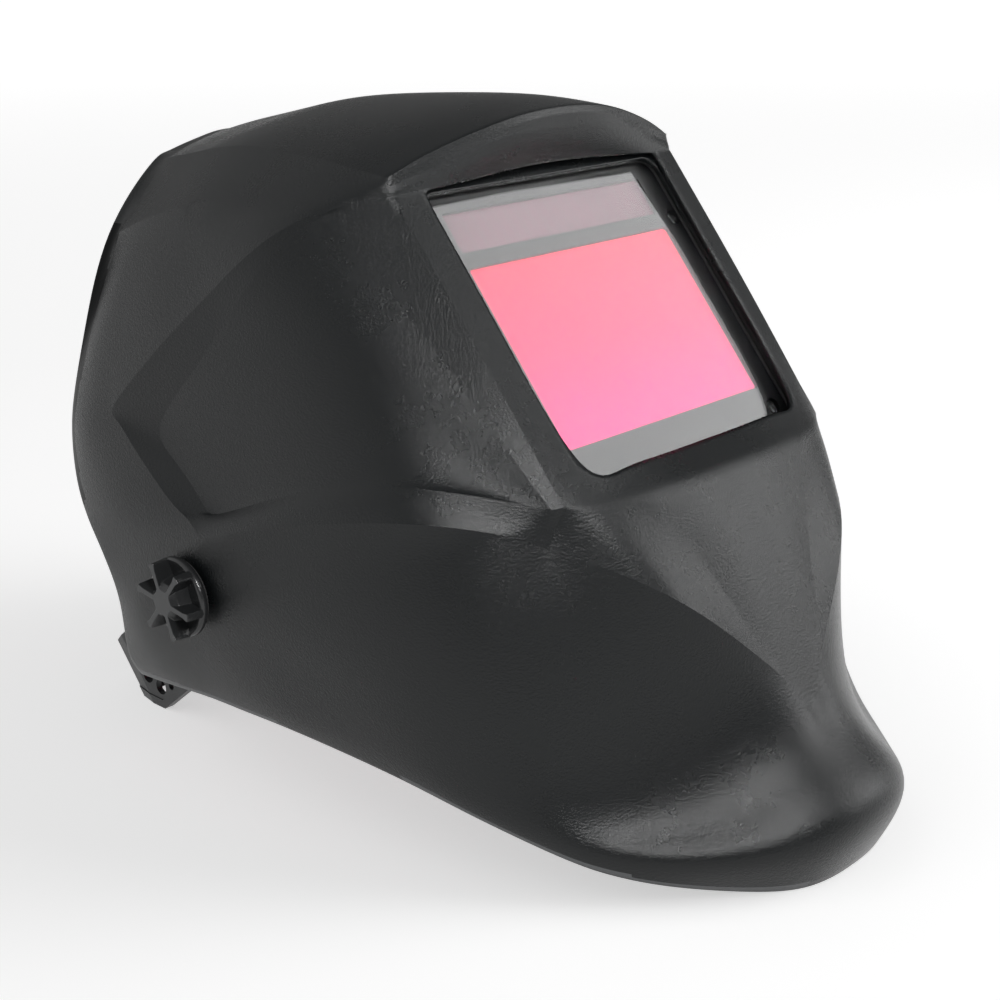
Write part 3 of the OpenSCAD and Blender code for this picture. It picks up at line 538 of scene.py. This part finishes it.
def build_shell():
    points, faces, creases = shell_cage()
    mesh = bpy.data.meshes.new("Shell")
    mesh.from_pydata([REST @ (Vector(p) * MM) for p in points], [], faces)
    ob = bpy.data.objects.new("Shell", mesh)
    bpy.context.scene.collection.objects.link(ob)
    lines = [creases.get(frozenset(e.vertices), 0.0) for e in mesh.edges]
    crease = mesh.attributes.new("crease_edge", "FLOAT", "EDGE")
    crease.data.foreach_set("value", lines)
    sharp = mesh.attributes.new("sharp_edge", "BOOLEAN", "EDGE")
    sharp.data.foreach_set("value", [v == 1 for v in lines])
    smooth = ob.modifiers.new("Smooth", "SUBSURF")
    smooth.levels = smooth.render_levels = 3
    smooth.boundary_smooth = "PRESERVE_CORNERS"
    # Move the cage until the smoothed skin runs through the grid's own points
    target = np.array([REST @ (Vector(p) * MM) for p in points])
    ends = np.array([tuple(e.vertices) for e in mesh.edges])
    spans = np.linalg.norm(target[ends[:, 0]] - target[ends[:, 1]], axis=1)
    reach = np.full(len(points), 1.0)
    for k in (0, 1):
        np.minimum.at(reach, ends[:, k], spans)
    cage = target.copy()
    for _ in range(FIT_ROUNDS):
        mesh.vertices.foreach_set("co", cage.ravel())
        mesh.update()
        bpy.context.view_layer.update()
        skin = ob.evaluated_get(bpy.context.evaluated_depsgraph_get()).data
        reached = np.array([skin.vertices[i].co for i in range(len(points))])
        move = cage + (target - reached) * FIT_STEP - target
        far = np.linalg.norm(move, axis=1)
        move *= np.minimum(1.0, FIT_REACH * reach / np.maximum(far, 1e-9))[:, None]
        cage = target + move
    mesh.vertices.foreach_set("co", cage.ravel())
    mesh.update()
    applied(ob)
    dress(ob, M["shell_nylon"])
    mark_edges(ob)
    thick = ob.modifiers.new("Wall", "SOLIDIFY")
    thick.thickness = WALL * MM
    thick.offset = -1
    thick.use_even_offset = False
    applied(ob)
    ob.data.polygons.foreach_set("use_smooth", [True] * len(ob.data.polygons))
    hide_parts("shell")
    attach(ob, "shell")
    return ob


shell = build_shell()

# Seat round the opening and pocket wall, as the shell's inside has them
LENS_W, LENS_H, LENS_UP, CORNER_R = 126, 112, 13, 7
SEAT_F, SEAT_T, POCKET_BACK = 124.5, 2.2, 109.2


def frame_ring(name, outer, inner, f0, f1, slot, body, *stands_for, edge=0.4):
    """A rectangular ring in the window's plane: outer and inner are (w, h, r, up)."""
    loops = []
    for shape, f in ((outer, f0), (outer, f1), (inner, f1), (inner, f0)):
        loops.append([(x, -f, z) for x, z in round_rect(*shape)])
    ob = solid(name, *lofted(loops), slot, body, *stands_for)
    return soften(ob, edge)


frame_ring("Window_Seat", (LENS_W + 2, LENS_H + 2, CORNER_R + 1, LENS_UP), (115, 104, 6, LENS_UP),
           SEAT_F, SEAT_F + SEAT_T, "shell_nylon", "shell", "shell", edge=0.7)
frame_ring("Lens_Pocket", (LENS_W + 4.4, LENS_H + 4.4, CORNER_R + 2.2, LENS_UP),
           (LENS_W + 0.8, LENS_H + 0.8, CORNER_R + 0.4, LENS_UP), POCKET_BACK, SEAT_F,
           "shell_nylon", "shell", "shell")

# ---------------------------------------------------------------- edges of the carried-over parts

FINE_EDGE = {"circuit_board": 0.15, "lcd_panel": 0.25, "solar_cell": 0.25, "outer_cover_lens": 0.2,
             "inner_cover_lens": 0.2, "headband": 0.5, "crown_strap_left": 0.4,
             "crown_strap_right": 0.4, "nape_band": 0.6, "side_rail_left": 0.6,
             "side_rail_right": 0.6, "pivot_block_left": 0.8, "pivot_block_right": 0.8,
             "ratchet_housing": 0.9, "ratchet_cover": 0.5, "ratchet_knob": 0.8}
for name, ob in NODES.items():
    if name not in ("shell", "sweatband", "nape_pad"):
        soften(ob, FINE_EDGE.get(name, 0.3))

# ---------------------------------------------------------------- tension knobs

KNOB_IN, KNOB_R, SKIRT_T, KNOB_T = 114.6, 13.75, 2.6, 8.4
SKIRT_BORE, RING = 5.2, 48
ARM_TURNS = range(18, 378, 60)  # from straight up, towards the front


def star(hub, reach, narrow, wide):
    """Outline of six fins, half as wide as narrow at the hub and as wide at the end."""
    outline = []
    for turn in ARM_TURNS:
        a = math.radians(turn)
        out, across = (math.sin(a), math.cos(a)), (math.cos(a), -math.sin(a))
        valley = math.radians(turn - 30)
        outline.append((hub * math.sin(valley), hub * math.cos(valley)))
        end = [(hub * 1.1, -narrow), (reach * 0.8, -narrow), (reach * 0.975, -wide), (reach, 0),
               (reach * 0.975, wide), (reach * 0.8, narrow), (hub * 1.1, narrow)]
        outline += [(r * out[0] + w * across[0], r * out[1] + w * across[1]) for r, w in end]
    return outline


def tension_knob(side, word):
    """A knob with six fins: a round glossy skirt and a raised star with a matt face."""
    skirt = []
    for r, h in ((SKIRT_BORE, 0.0), (KNOB_R - 0.5, 0.0), (KNOB_R, 0.5), (KNOB_R, SKIRT_T - 0.7),
                 (KNOB_R - 0.5, SKIRT_T), (KNOB_R - 1.3, SKIRT_T + 0.1), (KNOB_R - 2.6, SKIRT_T - 0.5),
                 (SKIRT_BORE, SKIRT_T - 0.6)):
        skirt.append([(side * (KNOB_IN + h), -r * math.sin(2 * math.pi * i / RING),
                       r * math.cos(2 * math.pi * i / RING)) for i in range(RING)])
    body = f"tension_knob_{word}"
    ob = solid(f"Knob_Skirt_{word}", *lofted(skirt), "knob_plastic", body, f"pivot_knob_{word}")
    soften(ob, 0.2, angle=50)
    loops = []
    for h, hub, reach, narrow, wide in ((0.8, 7.2, KNOB_R, 1.2, 1.7), (6.5, 6.0, KNOB_R - 0.3, 1.0, 1.5),
                                        (KNOB_T, 4.2, KNOB_R - 0.5, 0.9, 1.4)):
        loops.append([(side * (KNOB_IN + h), -y, z) for y, z in star(hub, reach, narrow, wide)])
    points, faces = lofted(loops, closed=False)
    n = len(loops[0])
    faces += [tuple(range(n)), tuple(range(2 * n, 3 * n))]
    grip = solid(f"Knob_Star_{word}", points, faces, "knob_plastic", body, f"pivot_knob_{word}")
    grip.data.materials.append(M["knob_face"])
    for face in grip.data.polygons:
        if face.normal.x * side > 0.9:
            face.material_index = 1
    soften(grip, 0.25, angle=25)


tension_knob(1, "left")
tension_knob(-1, "right")

# ---------------------------------------------------------------- soft pads


CLOTH_FRAMES, PRESSURE = 20, 4.0


def swell(ob, voxel, limit):
    """Fills a pad by cloth simulation, letting no point move further than limit millimetres."""
    remesh = ob.modifiers.new("Even", "REMESH")
    remesh.mode = "VOXEL"
    remesh.voxel_size = voxel * MM
    applied(ob)
    start = np.array([v.co for v in ob.data.vertices])
    cloth = ob.modifiers.new("Cloth", "CLOTH")
    cloth.settings.use_pressure = True
    cloth.settings.uniform_pressure_force = PRESSURE
    cloth.settings.effector_weights.gravity = 0
    scene = bpy.context.scene
    for f in range(1, CLOTH_FRAMES + 1):
        scene.frame_set(f)
    applied(ob)
    scene.frame_set(1)
    end = np.array([v.co for v in ob.data.vertices])
    move = end - start
    far = np.linalg.norm(move, axis=1, keepdims=True)
    move *= np.minimum(1.0, limit * MM / np.maximum(far, 1e-9))
    ob.data.vertices.foreach_set("co", (start + move).ravel())
    ob.data.update()
    fine = ob.modifiers.new("Fine", "SUBSURF")
    fine.levels = fine.render_levels = 1
    applied(ob)
    ob.data.polygons.foreach_set("use_smooth", [True] * len(ob.data.polygons))
    return ob


# Parts of a pad's thickness and height at its last points, from the end inwards
END_THICK, END_HEIGHT = (0.45, 0.8, 0.95, 1.0), (0.72, 0.9, 0.98, 1.0)


def swept_pad(name, path, low, high, thick, body, stands_for, place):
    """A pad's starting shape: a rounded slab that follows path, (x, y, inward x, inward y) points."""
    loops = []
    for i, (x, y, nx, ny) in enumerate(path):
        end = min(i, len(path) - 1 - i)
        pinch = END_THICK[min(end, 3)]
        half = (high - low) / 2 * END_HEIGHT[min(end, 3)]
        mid = (low + high) / 2
        t = thick * pinch
        section = [(0.0, -half), (t * 0.6, -half + 0.4), (t, -half + 3), (t, half - 3),
                   (t * 0.6, half - 0.4), (0.0, half)]
        loops.append([(x + nx * d, y + ny * d, mid + h) for d, h in section])
    points, faces = lofted(loops, closed=False)
    n = len(loops[0])
    faces += [tuple(range(n)), tuple(range(len(points) - n, len(points)))]
    return solid(name, points, faces, "pad_fabric", body, stands_for, place=place)


TEMPLE, FOREHEAD, BAND_T, LOOP_POWER = 78, 70, 2.4, 2.3
BROW_TILT, BAND_UP, BAND_H = math.radians(22), 4, 22
TILTED = REST @ Matrix.Translation(Vector((0, 0, BAND_UP * MM))) @ Matrix.Rotation(-BROW_TILT, 4, "X")


def band_path(gap, first, last, steps):
    """The headband's loop, gap millimetres inside it, with its inward normals."""
    path = []
    for i in range(steps + 1):
        a = math.radians(first + (last - first) * i / steps)
        c, s = math.cos(a), math.sin(a)
        x = (TEMPLE - gap) * math.copysign(abs(c) ** (2 / LOOP_POWER), c)
        y = -(FOREHEAD - BAND_T - gap) * abs(s) ** (2 / LOOP_POWER)
        n = Vector((-x / TEMPLE ** 2, -y / FOREHEAD ** 2)).normalized()
        path.append((x, y, n.x, n.y))
    return path


sweatband = swept_pad("Sweatband", band_path(0.5, 33, 147, 40), -BAND_H / 2 - 2, BAND_H / 2 + 2, 4.6,
                      "headband", "sweatband", TILTED)
swell(sweatband, 4.0, 1.6)

NAPE_PATH = [(43, 106.4), (36, 109.2), (28, 110.6), (19, 111.1), (9, 111.4), (0, 111.5)]
nape_half = [(x, y, -0.05 * x / 28, -1.0) for x, y in NAPE_PATH]
nape_line = nape_half + [(-x, y, -nx, ny) for x, y, nx, ny in reversed(nape_half[:-1])]
nape_pad = swept_pad("Nape_Pad", nape_line, 18, 42, 4.6, "nape_unit", "nape_pad", REST)
swell(nape_pad, 4.0, 1.6)

# Copies of the toothed straps, with rounded edges
for side, word in ((1, "left"), (-1, "right")):
    strap = bpy.data.objects.new(f"Rack_Strap_{word}", NODES[f"rack_strap_{word}"].data.copy())
    bpy.context.scene.collection.objects.link(strap)
    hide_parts(f"rack_strap_{word}")
    soften(strap, 0.3)
    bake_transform(strap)

# ---------------------------------------------------------------- floor, light, camera

floor_mesh = bpy.data.meshes.new("Floor")
floor_mesh.from_pydata([(-9, -9, 0), (9, -9, 0), (9, 9, 0), (-9, 9, 0)], [], [(0, 1, 2, 3)])
floor = bpy.data.objects.new("Floor", floor_mesh)
bpy.context.scene.collection.objects.link(floor)
paper = Nodes("Floor_Paper")
paper.set(Base_Color=(0.84, 0.84, 0.84, 1), Roughness=0.9, Specular_IOR_Level=0.1)
away = paper.add("ShaderNodeVectorMath", operation="LENGTH")
paper.feed(away.inputs[0], paper.place())
# The floor glows a little more away from the helmet, so the background stays white
paper.set(Emission_Color=(1, 1, 1, 1),
          Emission_Strength=paper.level(away.outputs["Value"], 0.52, 0.76, 0.6, 3.0))
dress(floor, paper.material)

world = bpy.data.worlds.new("Studio")
bpy.context.scene.world = world
world.use_nodes = True
sky = world.node_tree
backdrop = sky.nodes["Background"]
backdrop.inputs["Color"].default_value = (1, 1, 1, 1)
# A dim room with a broad pale wall behind the wearer's right shoulder
facing = sky.nodes.new("ShaderNodeVectorMath")
facing.operation = "DOT_PRODUCT"
facing.inputs[1].default_value = Vector((-0.74, 0.62, 0.27)).normalized()
wall = sky.nodes.new("ShaderNodeMapRange")
wall.interpolation_type = "SMOOTHSTEP"
wall.inputs["From Min"].default_value = 0.3
wall.inputs["From Max"].default_value = 0.95
wall.inputs["To Min"].default_value = 0.2
wall.inputs["To Max"].default_value = 0.8
sky.links.new(sky.nodes.new("ShaderNodeTexCoord").outputs["Generated"], facing.inputs[0])
sky.links.new(facing.outputs["Value"], wall.inputs["Value"])
sky.links.new(wall.outputs["Result"], backdrop.inputs["Strength"])


def softbox(name, place, aim, width, height, power, roll=0.0):
    """A rectangular area light at place, turned to aim."""
    data = bpy.data.lights.new(name, "AREA")
    data.shape = "RECTANGLE"
    data.size, data.size_y = width, height
    data.energy = power
    ob = bpy.data.objects.new(name, data)
    ob.location = place
    turn = (Vector(aim) - Vector(place)).to_track_quat("-Z", "Y")
    ob.rotation_euler = (turn.to_matrix() @ Matrix.Rotation(roll, 3, "Z")).to_euler()
    bpy.context.scene.collection.objects.link(ob)
    return ob


softbox("Window_Box", (0.954, -0.95, 0.917), (0, -0.058, 0.157), 0.9, 1.35, 10.5, math.radians(-24))
flash = softbox("Flash", (-0.46, -0.82, 0.84), (0, -0.06, 0.1), 0.2, 0.2, 12)
softbox("Low_Box", (0.98, -0.9, 0.44), (0, -0.1, 0.1), 0.6, 0.35, 3.6)
# The flash is flagged off the floor
shaded = bpy.data.collections.new("Flagged_Off")
shaded.objects.link(floor)
flash.light_linking.receiver_collection = shaded
shaded.collection_objects[0].light_linking.link_state = "EXCLUDE"

LENS_CENTRE = Vector((0, -0.0583, 0.1566))
camera_data = bpy.data.cameras.new("Camera")
camera_data.lens = 63
camera_data.sensor_width = 36
camera = bpy.data.objects.new("Camera", camera_data)
camera.location = LENS_CENTRE + Vector((-0.4363, -0.3502, 0.1357))
camera.rotation_mode = "QUATERNION"
camera.rotation_quaternion = Vector((0.6945, 0.6408, -0.327)).to_track_quat("-Z", "Y")
bpy.context.scene.collection.objects.link(camera)
bpy.context.scene.camera = camera
bpy.context.scene.view_settings.view_transform = "Standard"
